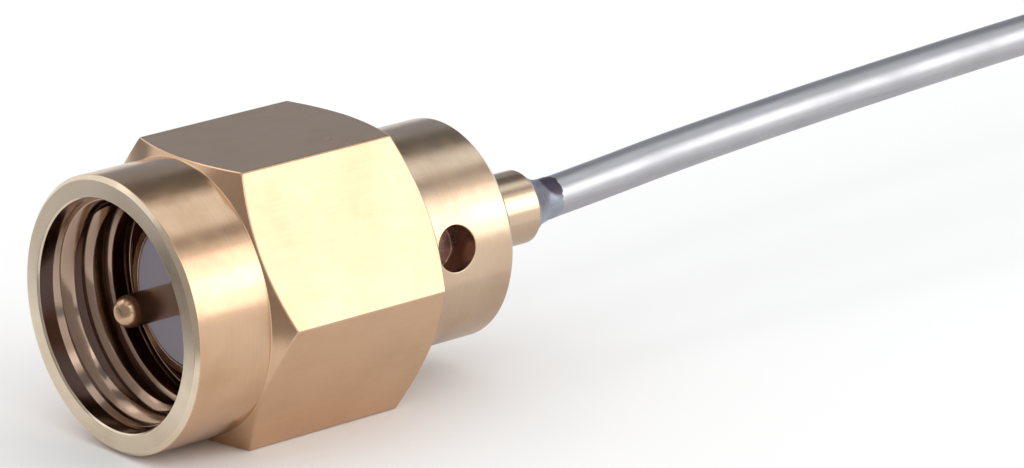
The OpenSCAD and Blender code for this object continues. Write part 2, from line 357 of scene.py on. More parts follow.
def cable_path(steps):
    """The jacket's line outside the shell, from the first point of the route that isn't a guide."""
    points = [
        curve_through(*ROUTE[i - 1 : i + 3], k / steps)
        for i in range(1, len(ROUTE) - 2)
        for k in range(steps)
    ]
    return points + [ROUTE[-2]]


def with_end_breaks(points, away):
    """Adds a point just inside each end of a path that starts along the axis and leaves in one direction."""
    first, last = points[0], points[-1]
    return [first, first + AXIS * END_BREAK, *points[1:-1], last - away * END_BREAK, last]


def tube(name, path, radius, sides, material, inner=0):
    """A tube along a path, solid or with a bore, and with a small edge break at both ends."""
    frames = []
    for i, point in enumerate(path):
        along = (path[min(i + 1, len(path) - 1)] - path[max(i - 1, 0)]).normalized()
        side = UP.cross(along).normalized()
        frames.append((point, along.cross(side), side))

    def ring(frame, r):
        point, up, side = frame
        angles = (math.tau * k / sides for k in range(sides))
        return [point + (up * math.cos(a) + side * math.sin(a)) * r for a in angles]

    radii = [radius * END_SHARE, *[radius] * (len(path) - 2), radius * END_SHARE]
    rings = [ring(frame, r) for frame, r in zip(frames, radii)]
    if inner:
        rings += [ring(frame, inner) for frame in reversed(frames)]
    else:
        rings = [path[:1], *rings, path[-1:]]
    return lofted(name, rings, material, closed=inner > 0)


# ---------------------------------------------------------------- materials


class Nodes:
    """A short way to write a tree of nodes."""

    def __init__(self, tree):
        self.tree = tree

    def feed(self, node, **inputs):
        """Links or sets a node's inputs by name, with _ for a space, or by number, as i0, i1 and so on."""
        for key, value in inputs.items():
            numbered = key[0] == "i" and key[1:].isdigit()
            socket = node.inputs[int(key[1:]) if numbered else key.replace("_", " ")]
            if isinstance(value, bpy.types.NodeSocket):
                self.tree.links.new(value, socket)
            else:
                socket.default_value = value

    def add(self, kind, settings=None, **inputs):
        node = self.tree.nodes.new(kind)
        for key, value in (settings or {}).items():
            setattr(node, key, value)
        self.feed(node, **inputs)
        return node

    def maths(self, operation, one, two=0.0, clamp=False):
        node = self.add("ShaderNodeMath", {"operation": operation, "use_clamp": clamp}, i0=one, i1=two)
        return node.outputs[0]

    def times(self, one, two):
        return self.maths("MULTIPLY", one, two)

    def plus(self, one, two, portion=None):
        """The sum of both, or of the first and a portion of the second."""
        return self.maths("ADD", one, two if portion is None else self.times(two, portion))

    def mapped(self, value, low, high, to_low=0.0, to_high=1.0):
        node = self.add("ShaderNodeMapRange", None, i0=value, i1=low, i2=high, i3=to_low, i4=to_high)
        return node.outputs[0]

    def join(self, x, y, z):
        return self.add("ShaderNodeCombineXYZ", None, i0=x, i1=y, i2=z).outputs[0]


class Surface(Nodes):
    """A new material's nodes round one shader. Its patterns lie on the object's own coordinates."""

    def __init__(self, name):
        self.material = bpy.data.materials.new(name)
        self.material.use_nodes = True
        super().__init__(self.material.node_tree)
        self.tree.nodes.clear()
        self.shader = self.add("ShaderNodeBsdfPrincipled")
        self.add("ShaderNodeOutputMaterial", None, i0=self.shader.outputs[0])
        self.place = self.add("ShaderNodeTexCoord").outputs["Object"]

    def noise(self, scale, detail=2.0, roughness=0.5, vector=None):
        """Noise with so many cells in a metre."""
        node = self.add(
            "ShaderNodeTexNoise", None, Vector=vector or self.place, Scale=scale, Detail=detail,
            Roughness=roughness,
        )
        return node.outputs[0]

    def mix(self, factor, one, two):
        node = self.add("ShaderNodeMix", {"data_type": "RGBA"}, i0=factor, i6=one, i7=two)
        return node.outputs[2]

    def bump(self, height, strength, depth, **normal):
        node = self.add("ShaderNodeBump", None, Strength=strength, Distance=depth, Height=height, **normal)
        return node.outputs[0]

    def split(self):
        """The three coordinates of the place."""
        return self.add("ShaderNodeSeparateXYZ", None, i0=self.place).outputs[:3]

    def drawn_out(self, portion):
        """The place with its X shortened, which draws a pattern out along the axis."""
        x, y, z = self.split()
        return self.join(self.times(x, portion), y, z)

    def lathe_rings(self):
        """Fine rings that a lathe leaves, which change along the axis and with the radius."""
        x, y, z = self.split()
        across = self.maths("SQRT", self.plus(self.times(y, y), self.times(z, z)))
        drift = self.times(self.noise(900.0, 1.0), 0.02 * MM)
        return self.join(self.plus(x, drift), self.plus(across, drift), 0.0)

    def give(self, **inputs):
        """Feeds the shader and hands the material over."""
        self.feed(self.shader, **inputs)
        return self.material


def shaded(tint, factors=(1.0, 1.0, 1.0), lift=0.0):
    """An opaque colour made from a tint by one factor, or by one for each channel."""
    if isinstance(factors, float):
        factors = (factors, factors, factors)
    return (*(min(channel * factor + lift, 1.0) for channel, factor in zip(tint, factors)), 1.0)


def plated_gold(name, tint, roughness=(0.14, 0.25), milled=False):
    """Bright gold plating over turned or milled brass, duller in patches and paler along its edges, which is
    partly wear and partly a painted highlight.
    """
    surface = Surface(name)
    patches = surface.noise(420.0, 3.0, 0.6)
    spots = surface.noise(2600.0)
    if milled:
        dullest = 0.36
        lines = surface.noise(11000.0, 2.0, 0.7, surface.drawn_out(0.06))
    else:
        dullest = 0.6
        lines = surface.noise(14000.0, 2.0, 0.7, surface.lathe_rings())
    tone = surface.mapped(patches, 0.38, 0.66, 0.0, dullest)
    tone = surface.maths("ADD", tone, surface.mapped(lines, 0.3, 0.75, 0.0, 0.22), clamp=True)
    base = surface.mix(tone, shaded(tint), shaded(tint, (0.80, 0.75, 0.70)))
    # Where the rounded normal leaves the true one, there is an edge, and it is made paler: partly wear,
    # partly a painted highlight
    rounded = surface.add("ShaderNodeBevel", {"samples": 4}, Radius=0.06 * MM).outputs[0]
    true = surface.add("ShaderNodeNewGeometry").outputs["Normal"]
    likeness = surface.add("ShaderNodeVectorMath", {"operation": "DOT_PRODUCT"}, i0=rounded, i1=true)
    worn_and_highlight = surface.mapped(likeness.outputs["Value"], 0.995, 0.93, 0.0, 0.55)
    base = surface.mix(worn_and_highlight, base, shaded(tint, 1.25, 0.03))
    rough = surface.mapped(surface.plus(patches, spots, 0.5), 0.5, 1.0, *roughness)
    normal = surface.bump(surface.plus(lines, spots, 0.35), 0.35, 0.0012 * MM)
    return surface.give(Base_Color=base, Metallic=1.0, Roughness=rough, Normal=normal)


def tinned_copper(name, tint):
    """Bright tin over a drawn copper tube, with faint draw lines and handling marks."""
    surface = Surface(name)
    streaks = surface.noise(9000.0, 3.0, 0.65, surface.drawn_out(0.03))
    clouds = surface.noise(500.0, 3.0, 0.6)
    grains = surface.noise(7000.0, 2.0, 0.6)
    faint = surface.mapped(streaks, 0.35, 0.7, 0.0, 0.4)
    shade = surface.maths("ADD", surface.mapped(clouds, 0.3, 0.7, 0.0, 0.6), faint, clamp=True)
    base = surface.mix(shade, shaded(tint), shaded(tint, 0.78))
    rough = surface.mapped(clouds, 0.3, 0.7, 0.33, 0.45)
    dents = surface.bump(surface.noise(320.0), 0.5, 0.02 * MM)
    normal = surface.bump(surface.plus(streaks, grains, 0.4), 0.4, 0.002 * MM, Normal=dents)
    return surface.give(Base_Color=base, Metallic=1.0, Roughness=rough, Normal=normal)


def soft_solder(name, finish, spot):
    """Frosty tin solder that is darker along its top and round one spot, which is painted shade, and less
    metallic where it is darker.
    """
    surface = Surface(name)
    frost = surface.noise(6000.0, 4.0, 0.65)
    clouds = surface.noise(1500.0)
    # Painted shade: the colour darkens towards the top, leaning to one side, and round one spot
    _, y, z = surface.split()
    leaning = surface.maths("SUBTRACT", z, surface.times(y, 0.35))
    wandering = surface.plus(leaning, surface.maths("SUBTRACT", clouds, 0.5), 0.9 * MM)
    film = surface.mapped(wandering, 0.1 * MM, 0.55 * MM, 0.0, 0.62)
    away = surface.add("ShaderNodeVectorMath", {"operation": "DISTANCE"}, i0=surface.place, i1=spot)
    shade_spot = surface.mapped(away.outputs["Value"], 0.62 * MM, 0.42 * MM)
    painted_shade = surface.maths("MAXIMUM", film, shade_spot, clamp=True)
    base = surface.mix(painted_shade, shaded(finish.solder), shaded(finish.solder_shade))
    rough = surface.mapped(frost, 0.3, 0.7, 0.28, 0.5)
    metal = surface.mapped(painted_shade, 0.0, 1.0, 1.0, 0.5)
    normal = surface.bump(frost, 0.5, 0.012 * MM)
    return surface.give(Base_Color=base, Metallic=metal, Roughness=rough, Normal=normal)


def burnt_flux(name, tint):
    """Glossy brown flux over a solder pool."""
    surface = Surface(name)
    clouds = surface.noise(2200.0, 3.0, 0.6)
    base = surface.mix(surface.mapped(clouds, 0.4, 0.6), shaded(tint), shaded(tint, 0.5))
    rough = surface.mapped(clouds, 0.3, 0.7, 0.18, 0.35)
    normal = surface.bump(clouds, 0.5, 0.02 * MM)
    return surface.give(Base_Color=base, Metallic=0.35, Roughness=rough, Normal=normal)


def machined_polymer(name, tint, ring_depth):
    """Satin fluoropolymer with the faint rings of a lathe tool."""
    surface = Surface(name)
    lines = surface.noise(9000.0, 2.0, 0.6, surface.lathe_rings())
    clouds = surface.noise(700.0)
    base = surface.mix(clouds, shaded(tint), shaded(tint, 1.08))
    rough = surface.mapped(lines, 0.3, 0.7, 0.38, 0.5)
    normal = surface.bump(lines, 0.4, ring_depth)
    return surface.give(
        Base_Color=base, Roughness=rough, Normal=normal, Subsurface_Weight=0.12,
        Subsurface_Radius=(1.0, 1.0, 1.0), Subsurface_Scale=0.4 * MM,
    )


def spring_copper(name):
    """Satin beryllium copper, a little browner in clouds."""
    surface = Surface(name)
    clouds = surface.noise(1200.0, 3.0, 0.6)
    lines = surface.noise(12000.0, 2.0, 0.6, surface.lathe_rings())
    base = surface.mix(clouds, shaded((0.62, 0.42, 0.22)), shaded((0.50, 0.31, 0.16)))
    rough = surface.mapped(clouds, 0.3, 0.7, 0.25, 0.4)
    normal = surface.bump(lines, 0.4, 0.002 * MM)
    return surface.give(Base_Color=base, Metallic=1.0, Roughness=rough, Normal=normal)


def moulded_silicone(name):
    """Matt reddish silicone rubber with a fine grain."""
    surface = Surface(name)
    grain = surface.noise(8000.0, 3.0, 0.6)
    clouds = surface.noise(900.0)
    base = surface.mix(clouds, shaded((0.36, 0.075, 0.035)), shaded((0.28, 0.05, 0.025)))
    rough = surface.mapped(grain, 0.3, 0.7, 0.5, 0.7)
    normal = surface.bump(grain, 0.4, 0.004 * MM)
    return surface.give(Base_Color=base, Roughness=rough, Normal=normal)


def stage_paint(name, tint):
    """Matt paint with a barely visible grain."""
    surface = Surface(name)
    base = surface.mix(surface.noise(60.0, 3.0), shaded(tint), shaded(tint, 0.985))
    return surface.give(Base_Color=base, Roughness=0.8, Specular_IOR_Level=0.0)


# ---------------------------------------------------------------- geometry nodes


class Tree(Nodes):
    """A Geometry Nodes tree with named inputs."""

    def __init__(self, name):
        super().__init__(bpy.data.node_groups.new(name, "GeometryNodeTree"))
        self.tree.is_modifier = True
        self.tree.interface.new_socket("Geometry", in_out="OUTPUT", socket_type="NodeSocketGeometry")
        self.given = self.add("NodeGroupInput").outputs
        self.values = {}

    def ask(self, name, value, kind="NodeSocketFloat"):
        """A named input, with its value kept under the socket's identifier."""
        socket = self.tree.interface.new_socket(name, in_out="INPUT", socket_type=kind)
        self.values[socket.identifier] = value

    def end(self, geometry, material):
        real = self.add("GeometryNodeRealizeInstances", None, i0=geometry)
        dressed = self.add("GeometryNodeSetMaterial", None, Geometry=real.outputs[0], Material=material)
        smooth = self.add("GeometryNodeSetShadeSmooth", None, Geometry=dressed.outputs[0])
        self.add("NodeGroupOutput", None, i0=smooth.outputs[0])

    def grow(self, name):
        """Runs the tree on an empty mesh and keeps the result as a plain mesh."""
        piece = new_object(name, bpy.data.meshes.new(name + "_source"))
        modifier = piece.modifiers.new("Grow", "NODES")
        modifier.node_group = self.tree
        for identifier, value in self.values.items():
            modifier[identifier] = value
        bake(piece)
        piece.data.name = name
        mesh = bmesh.new()
        mesh.from_mesh(piece.data)
        bmesh.ops.remove_doubles(mesh, verts=mesh.verts, dist=1e-7)
        bmesh.ops.recalc_face_normals(mesh, faces=mesh.faces)
        mesh.to_mesh(piece.data)
        mesh.free()
        return piece


def helical_thread_tree(settings, front, material):
    """A ridge that winds along the bore with a right-hand twist and fades at both ends."""
    tree = Tree("HelicalThread")
    # The ridge's widths are shares of the pitch, and its foot is sunk into the bore
    for name, value in (
        ("Pitch", settings.pitch),
        ("Root Radius", settings.root_radius),
        ("Ridge Height", settings.root_radius - settings.crest_radius),
        ("Ridge Base", settings.pitch * 0.875),
        ("Ridge Crest", settings.pitch * 0.25),
        ("Crest Rounding", settings.pitch * 0.045),
        ("Front", front),
        ("Length", settings.rear - front),
        ("Run-out", settings.taper),
        ("Least Size", 0.06),
        ("Sink", 0.03 * MM),
    ):
        tree.ask(name, value)
    tree.ask("Steps", settings.steps, "NodeSocketInt")
    tree.ask("Material", material, "NodeSocketMaterial")
    given = tree.given
    turns = tree.maths("DIVIDE", given["Length"], given["Pitch"])
    path = tree.add(
        "GeometryNodeCurveSpiral", None, Resolution=given["Steps"], Rotations=turns, Reverse=False,
        Start_Radius=given["Root Radius"], End_Radius=given["Root Radius"], Height=given["Length"],
    )
    along = tree.add("GeometryNodeSplineParameter").outputs["Factor"]
    fade_in = tree.maths("DIVIDE", along, given["Run-out"])
    fade_out = tree.maths("DIVIDE", tree.maths("SUBTRACT", 1.0, along), given["Run-out"])
    fade = tree.maths("MINIMUM", tree.maths("MINIMUM", fade_in, fade_out), 1.0)
    fade = tree.maths("MAXIMUM", fade, given["Least Size"])
    ridge = tree.add(
        "GeometryNodeCurvePrimitiveQuadrilateral", {"mode": "TRAPEZOID"}, Height=given["Ridge Height"],
        Bottom_Width=given["Ridge Base"], Top_Width=given["Ridge Crest"], Offset=0.0,
    )
    rounded = tree.add(
        "GeometryNodeFilletCurve", {"mode": "POLY"}, Curve=ridge.outputs[0], Count=2,
        Radius=given["Crest Rounding"],
    )
    lift = tree.maths("SUBTRACT", tree.maths("DIVIDE", given["Ridge Height"], 2.0), given["Sink"])
    raised = tree.add(
        "GeometryNodeTransform", None, Geometry=rounded.outputs[0], Translation=tree.join(0.0, lift, 0.0)
    )
    swept = tree.add(
        "GeometryNodeCurveToMesh", None, Curve=path.outputs[0], Profile_Curve=raised.outputs[0],
        Scale=fade, Fill_Caps=True,
    )
    laid = tree.add(
        "GeometryNodeTransform", None, Geometry=swept.outputs[0], Rotation=(0.0, math.pi / 2, 0.0),
        Translation=tree.join(given["Front"], 0.0, 0.0),
    )
    tree.end(laid.outputs[0], given["Material"])
    return tree


# ---------------------------------------------------------------- operators


class PlugOperator:
    """An operator that builds its pieces from the scene's settings."""

    bl_options = {"REGISTER", "UNDO"}

    def execute(self, context):
        self.build(context.scene.plug)
        return {"FINISHED"}


def rectangle(left, right, low, high):
    return (left, low), (right, low), (right, high), (left, high)


def placed(point, x, y, z):
    """A place at a point, with its own axes along three directions."""
    return Matrix.Translation(point) @ Matrix((x, y, z)).transposed().to_4x4()


def facing(direction, distance):
    """A place in the room that faces the plug. Its own X runs level."""
    outward = Vector(direction).normalized()
    level = UP.cross(outward).normalized()
    return placed(outward * distance, level, outward.cross(level), outward)


def softbox(name, direction, distance, width, height, radiance, tint=WHITE):
    """A rectangular lamp of even brightness."""
    data = bpy.data.lights.new(name, "AREA")
    data.shape = "RECTANGLE"
    data.size, data.size_y = width, height
    data.color = tint
    data.energy = radiance * math.pi * width * height
    lamp = new_object(name, data)
    lamp.matrix_world = facing(direction, distance)
    lamp.visible_camera = False


def raise_card(name, corners, tint):
    """A grey card out of the camera's sight, which only the metal shows."""
    card = flat_piece(name, corners, stage_paint(name, tint))
    card.visible_camera = False
    card.visible_diffuse = False
    card.visible_shadow = False


def facing_card(name, direction, distance, width, height, tint):
    place = facing(direction, distance)
    corners = rectangle(-width / 2, width / 2, -height / 2, height / 2)
    raise_card(name, [place @ Vector((x, y, 0)) for x, y in corners], tint)


class PLUG_OT_stage(PlugOperator, bpy.types.Operator):
    """Makes the camera, the pale floor, the lamps and the grey cards that the metal reflects"""

    bl_idname = "plug.stage"
    bl_label = "Stage"

    def build(self, plug):
        self.camera(plug.studio)
        self.room(plug.studio)
        self.floor()
        # Direction seen from the plug, distance, width, height, radiance and colour
        softbox("key_softbox", (0.615, -0.706, 0.35), 0.50, 0.34, 0.334, 1.45)
        softbox("hot_centre", (0.607, -0.712, 0.35), 0.49, 0.20, 0.11, 1.0)
        softbox("high_panel", (0.615, -0.03, 0.788), 0.49, 0.22, 0.14, 0.34, (0.5, 0.8, 1.0))
        # The same for the cards, without a radiance
        facing_card("back_card", (0.62, 0.60, 0.36), 0.48, 0.40, 0.30, (0.335, 0.37, 0.42))
        facing_card("high_card", (0.633, 0.373, 0.679), 0.47, 0.34, 0.146, (0.15, 0.15, 0.15))
        facing_card("gap_card", (0.590, -0.322, 0.740), 0.46, 0.30, 0.044, (0.32, 0.31, 0.31))
        self.mouth_cards()
        self.under_card()
        for side, name in ((-1, "near"), (1, "far")):
            softbox(name + "_strip", (-0.1, 0.64 * side, 0.76), 0.50, 0.44, 0.10, 0.9)
            zenith, low = (-0.1, 0.34 * side, 0.93), (-0.28, 0.93 * side, 0.10)
            facing_card(name + "_zenith_card", zenith, 0.48, 0.44, 0.13, (0.24, 0.25, 0.27))
            facing_card(name + "_low_card", low, 0.49, 0.26, 0.08, (0.30, 0.31, 0.34))

    def camera(self, studio):
        a, e, roll = studio.azimuth, studio.elevation, studio.roll
        back = Vector((math.sin(a) * math.cos(e), -math.cos(a) * math.cos(e), math.sin(e)))
        right = Vector((math.cos(a), math.sin(a), 0))
        up = back.cross(right)
        across = right * math.cos(roll) + up * math.sin(roll)
        upward = up * math.cos(roll) - right * math.sin(roll)
        data = bpy.data.cameras.new("camera")
        data.sensor_width = 36.0
        data.lens = studio.lens
        data.clip_start, data.clip_end = 0.01, 20.0
        camera = new_object("camera", data)
        stand = Vector(studio.target) + back * studio.distance
        camera.matrix_world = placed(stand, across, upward, back)
        bpy.context.scene.camera = camera

    def room(self, studio):
        """The room is white where it is seen, also in the metal, and a little dimmer as a light."""
        scene = bpy.context.scene
        scene.view_settings.view_transform = "Standard"
        scene.world = bpy.data.worlds.new("studio")
        scene.world.use_nodes = True
        nodes = Nodes(scene.world.node_tree)
        nodes.tree.nodes.clear()
        ray = nodes.add("ShaderNodeLightPath").outputs
        mirrored = nodes.maths("MAXIMUM", ray["Is Glossy Ray"], ray["Is Transmission Ray"])
        seen = nodes.maths("MAXIMUM", ray["Is Camera Ray"], mirrored)
        strength = nodes.mapped(seen, 0.0, 1.0, studio.ambient, 1.0)
        sky = nodes.add("ShaderNodeBackground", None, Color=shaded(WHITE), Strength=strength)
        nodes.add("ShaderNodeOutputWorld", None, i0=sky.outputs[0])

    def floor(self):
        reach = 3.0
        corners = [(x, y, CAD_BOX[0].z) for x, y in rectangle(-reach, reach, -reach, reach)]
        flat_piece("floor", corners, stage_paint("pale_floor", (0.95, 0.95, 0.95)))

    def mouth_cards(self):
        """Cards that stand before the nut's mouth, for its thread, the contact's nose and the rim, which
        paint shade into their reflections.
        """
        front, low = NUT_BOX[0].x, CAD_BOX[0].z
        for name, ahead, near, far, high, tint in (
            ("mouth_card", 6.5 * MM, -12 * MM, 5.6 * MM, 10 * MM, (0.40, 0.38, 0.37)),
            ("nose_card", 6.5 * MM, 5.6 * MM, 10.2 * MM, low + 2.9 * MM, (0.05, 0.045, 0.045)),
            ("rim_card", 6.8 * MM, 5.6 * MM, 13.5 * MM, 3 * MM, (0.56, 0.57, 0.60)),
        ):
            raise_card(name, [(front - ahead, y, z) for y, z in rectangle(near, far, low, high)], tint)

    def under_card(self):
        """A card that lies on the floor behind the nut, so that the shell and the cable are darker below:
        painted shade in their reflection of the floor.
        """
        z = CAD_BOX[0].z + 0.01 * MM
        corners = rectangle(8.6 * MM, 40 * MM, -7 * MM, 6 * MM)
        raise_card("under_card", [(x, y, z) for x, y in corners], (0.77, 0.76, 0.77))


class PLUG_OT_cable(PlugOperator, bpy.types.Operator):
    """Makes the cable: the tinned jacket, the insulation inside it and the wire"""

    bl_idname = "plug.cable"
    bl_label = "Cable"

    def build(self, plug):
        cable = plug.cable
        line = [Vector((NUT_BOX[1].x + NUT_PLAY + plug.shell.seat_depth, 0, 0)), *cable_path(cable.steps)]
        away = (line[-1] - line[-2]).normalized()
        centres = with_end_breaks(line, away)
        jacket = tube(
            "jacket_tube", centres, cable.jacket_radius, cable.sides,
            tinned_copper("tinned_jacket", plug.finish.tin), cable.dielectric_radius + 0.002 * MM,
        )
        settle(jacket, PLUG, "tinned_jacket", "cable_jacket")

        polymer = machined_polymer("extruded_polymer", (0.86, 0.86, 0.85), 0.002 * MM)
        silvered = tinned_copper("silvered_wire", (0.82, 0.81, 0.79))
        both_bare = cable.bare_dielectric + cable.bare_core
        for name, slot, node, radius, bare, material in (
            (
                "dielectric_rod", "cable_dielectric", "cable_dielectric", cable.dielectric_radius,
                cable.bare_dielectric, polymer,
            ),
            ("core_wire", "silvered_core", "cable_core", cable.core_radius, both_bare, silvered),
        ):
            start = Vector((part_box(node)[0].x, 0, 0))
            path = with_end_breaks([start, *line, line[-1] + away * bare], away)
            layer = tube(name, path, radius, cable.sides // 2, material)
            settle(layer, PLUG, slot, node)


class PLUG_OT_nut(PlugOperator, bpy.types.Operator):
    """Makes the coupling nut: collar, chamfered hexagon and bore"""

    bl_idname = "plug.nut"
    bl_label = "Coupling nut"

    def build(self, plug):
        nut, finish = plug.nut, plug.finish
        across = NUT_BOX[1].z
        columns = []
        for angle in self.columns(nut, across):
            outline = soften(self.section(nut, plug.thread, self.reach(across, nut.corner, angle)))
            columns.append([spun(angle, x, r) for x, r in outline])
        piece = lofted(
            "nut_body", zip(*columns),
            plated_gold("gold_turned_nut", finish.nut_gold),
            plated_gold("gold_milled_flats", finish.nut_gold, (0.18, 0.28), milled=True),
            plated_gold("gold_nut_bore", finish.shaded_bore_gold, (0.12, 0.22)),
            plated_gold("gold_nut_rim", finish.rim_highlight_gold, (0.16, 0.28)),
            closed=True,
        )
        flats, inside, rim = 1, 2, 3
        front = NUT_BOX[0].x
        bore = nut.counterbore_radius + nut.edge * 0.3
        # A face outside the collar that leans less than this is a wrench flat
        lean = 0.1
        for polygon in piece.data.polygons:
            x = polygon.center.x
            out = math.hypot(polygon.center.y, polygon.center.z)
            # The faces in the bore take the darker bore gold, which is painted shade
            if out < bore and x > front + nut.edge:
                polygon.material_index = inside
            # The rim's front faces take the paler rim gold, which is a painted highlight
            elif x < front + nut.rim_chamfer * 0.8:
                polygon.material_index = rim
            elif out > nut.collar_radius and abs(polygon.normal.x) < lean:
                polygon.material_index = flats
        settle(piece, NUT, "gold_plate_nut", "coupling_nut")

    def half_corner(self, across, corner):
        """Half of the angle that one rounded corner takes."""
        return HALF_FLAT - math.atan((across - corner) * math.tan(HALF_FLAT) / across)

    def columns(self, nut, across):
        """Angles round the nut, with some more at each corner."""
        half = self.half_corner(across, nut.corner)
        near = [half * k for k in (-2.2, -1.15, -1, -0.6, -0.2, 0.2, 0.6, 1, 1.15, 2.2)]
        clear = half * 3.2
        corners = [HALF_FLAT + 2 * HALF_FLAT * k for k in range(6)]
        plain = [math.tau * k / nut.columns for k in range(nut.columns)]
        plain = [a for a in plain if all(abs(a - c) > clear for c in corners)]
        return sorted(plain + [c + n for c in corners for n in near])

    def reach(self, across, corner, angle):
        """Radius of the rounded hexagon in one direction."""
        off = angle % (2 * HALF_FLAT) - HALF_FLAT
        centre = (across - corner) / math.cos(HALF_FLAT)
        if abs(off) < self.half_corner(across, corner):
            return centre * math.cos(off) + math.sqrt(corner**2 - (centre * math.sin(off)) ** 2)
        return across / math.cos(HALF_FLAT - abs(off))

    def section(self, nut, thread, reach):
        """The nut's outline at one angle, from the rim's outer edge round to its inner edge."""
        front, rear = NUT_BOX[0].x, NUT_BOX[1].x
        hexagon = front + nut.collar_length
        run = (reach - nut.collar_radius) * math.tan(math.radians(30))
        edge = nut.edge
        soft, fine, tight = edge * 0.6, edge * 0.5, edge * 0.3
        ring_front, ring_rear = RING_BOX[0].x - nut.groove_play, RING_BOX[1].x + nut.groove_play
        thread_front = front + nut.counterbore_depth
        thread_rear = thread.rear - 0.05 * MM
        slope = (nut.counterbore_radius - thread.root_radius) * 2
        relief_rear = thread.rear + nut.relief_length
        return [
            (front, nut.collar_radius - nut.rim_chamfer, soft),
            (front + nut.rim_chamfer, nut.collar_radius, soft),
            (hexagon, nut.collar_radius, fine),
            (hexagon + run, reach, nut.flat_edge),
            ((hexagon + rear) / 2, reach, 0),
            (rear - run, reach, nut.flat_edge),
            (rear, nut.collar_radius, edge),
            (rear, nut.neck_bore + edge, fine),
            (rear - edge, nut.neck_bore, fine),
            (ring_rear, nut.neck_bore, tight),
            (ring_rear, nut.groove_radius, tight),
            (ring_front, nut.groove_radius, tight),
            (ring_front, nut.neck_bore, tight),
            (relief_rear, nut.neck_bore, fine),
            (relief_rear, nut.relief_radius, fine),
            (thread.rear, nut.relief_radius, tight),
            (thread_rear, thread.root_radius, tight),
            (thread_front + slope, thread.root_radius, tight),
            (thread_front, nut.counterbore_radius, tight),
            (front + edge, nut.counterbore_radius, fine),
            (front, nut.counterbore_radius + edge, fine),
        ]


class PLUG_OT_thread(PlugOperator, bpy.types.Operator):
    """Winds the coupling thread inside the nut"""

    bl_idname = "plug.thread"
    bl_label = "Coupling thread"

    def build(self, plug):
        front = NUT_BOX[0].x + plug.nut.counterbore_depth
        # The thread takes the darker bore gold, which paints the shade inside the nut
        material = plated_gold("gold_thread", plug.finish.shaded_bore_gold, (0.1, 0.2))
        piece = helical_thread_tree(plug.thread, front, material).grow("nut_thread")
        settle(piece, NUT, "gold_plate_nut")


class SolderHole:
    """The solder hole's foot on the axis, its direction, and the direction across both."""

    def __init__(self, shell):
        barrel_front = SHELL_BOX[1].x - shell.ferrule_length - shell.barrel_length
        self.foot = Vector((barrel_front + shell.hole_offset, 0, 0))
        self.out = Vector((0, -math.cos(shell.hole_angle), math.sin(shell.hole_angle)))
        self.across = self.out.cross(AXIS)

    def circle(self, radius, sides):
        """Points round the foot, each with its distance from the axis."""
        for k in range(sides):
            angle = math.tau * k / sides
            aside = math.sin(angle) * radius
            yield self.foot + AXIS * (math.cos(angle) * radius) + self.across * aside, aside


